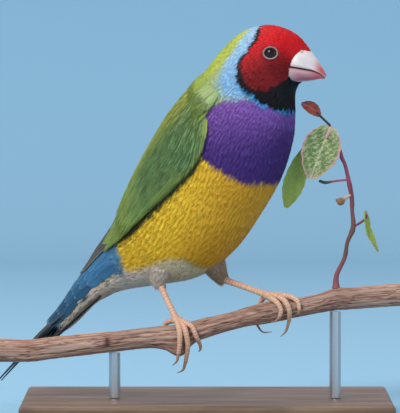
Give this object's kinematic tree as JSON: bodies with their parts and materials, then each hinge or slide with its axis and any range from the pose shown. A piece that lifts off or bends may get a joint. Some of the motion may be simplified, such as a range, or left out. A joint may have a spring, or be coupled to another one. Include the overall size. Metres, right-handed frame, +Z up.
{
  "type": "bird figure",
  "caption": "Life-size gouldian finch gripping a cut length of leafy branch, held on a flat base by short rods.",
  "frame": {"origin": "on the underside of the stand's base, below the middle of the branch, at floor level", "axes": "+Z up; +X along the branch toward the bird's head end; -Y toward the side the bird's breast is turned to"},
  "size_m": [0.1183, 0.0781, 0.1111],
  "materials": {
    "red_plumage": "soft feather, satin sheen",
    "green_plumage": "feather vanes, satin sheen",
    "yellow_plumage": "soft feather, satin sheen",
    "blue_plumage": "feather vanes, satin sheen",
    "cream_plumage": "soft down, matt",
    "eye": "polished, wet look",
    "bill": "smooth horn, low gloss",
    "leg": "fine scales, low gloss",
    "claw": "smooth horn, low gloss",
    "bark": "ridged dry bark, matt",
    "stem": "thin young bark, matt",
    "leaf": "leaf blade, satin",
    "stand_wood": "oiled, satin",
    "stand_steel": "brushed"
  },
  "bodies": {
    "root": {"head": "red_plumage", "neck": "green_plumage", "torso": "yellow_plumage", "rump": "yellow_plumage", "tail": "blue_plumage", "wing_right": "green_plumage", "wing_left": "green_plumage", "eye_right": "eye", "eye_left": "eye", "bill_upper": "bill", "bill_lower": "bill", "thigh_right": "cream_plumage", "thigh_left": "cream_plumage", "leg_right": "leg", "leg_left": "leg", "perch": "bark", "twig": "stem", "leaf_large": "leaf", "leaf_low": "leaf", "leaf_bud": "leaf", "leaf_side": "leaf", "stand_base": "stand_wood", "stand_rod_1": "stand_steel", "stand_rod_2": "stand_steel", "claw_right_inner": "claw", "claw_right_middle": "claw", "claw_right_outer": "claw", "claw_right_hind": "claw", "claw_left_inner": "claw", "claw_left_middle": "claw", "claw_left_outer": "claw", "claw_left_hind": "claw"}
  },
  "joints": []
}
